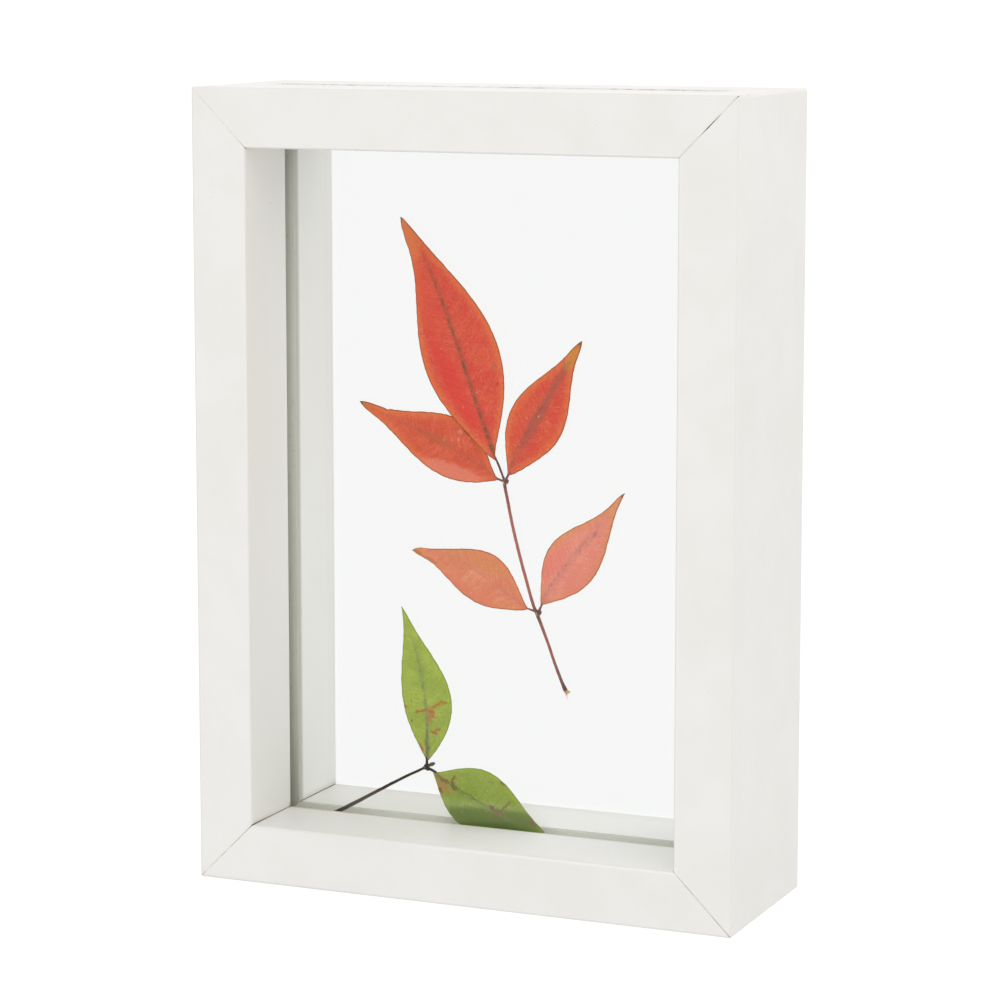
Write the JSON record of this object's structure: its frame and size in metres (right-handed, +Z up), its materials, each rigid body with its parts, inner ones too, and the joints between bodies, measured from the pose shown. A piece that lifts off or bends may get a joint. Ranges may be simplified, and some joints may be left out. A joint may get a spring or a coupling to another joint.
{
  "type": "pressed flower frame",
  "caption": "Deep free-standing wooden frame, mitred and painted, with a slot in its top and leafy sprigs pressed between clear glass panes at mid-depth.",
  "frame": {"origin": "middle of the underside of the bottom rail", "axes": "+Z up, +X to the right seen from the front, +Y to the back; the front faces -Y"},
  "size_m": [0.125, 0.044, 0.175],
  "materials": {
    "white_paint": "satin warm white paint on wood",
    "clear_glass": "clear polished",
    "red_leaf": "dried pressed leaf, brick red with orange rims",
    "pink_leaf": "dried pressed leaf, pale brick pink",
    "green_leaf": "dried pressed leaf, yellow-green with brown blotches",
    "red_stem": "dried stem, purple-brown",
    "green_stem": "dried stem, dark olive-brown"
  },
  "bodies": {
    "root": {"top_rail": "white_paint", "bottom_rail": "white_paint", "left_rail": "white_paint", "right_rail": "white_paint", "front_glass_pane": "clear_glass", "back_glass_pane": "clear_glass", "red_sprig_stem": "red_stem", "red_sprig_terminal_leaflet": "red_leaf", "red_sprig_upper_left_leaflet": "red_leaf", "red_sprig_upper_right_leaflet": "red_leaf", "red_sprig_lower_left_leaflet": "pink_leaf", "red_sprig_lower_right_leaflet": "pink_leaf", "green_sprig_stem": "green_stem", "green_sprig_upright_leaflet": "green_leaf", "green_sprig_lower_leaflet": "green_leaf"}
  },
  "joints": []
}
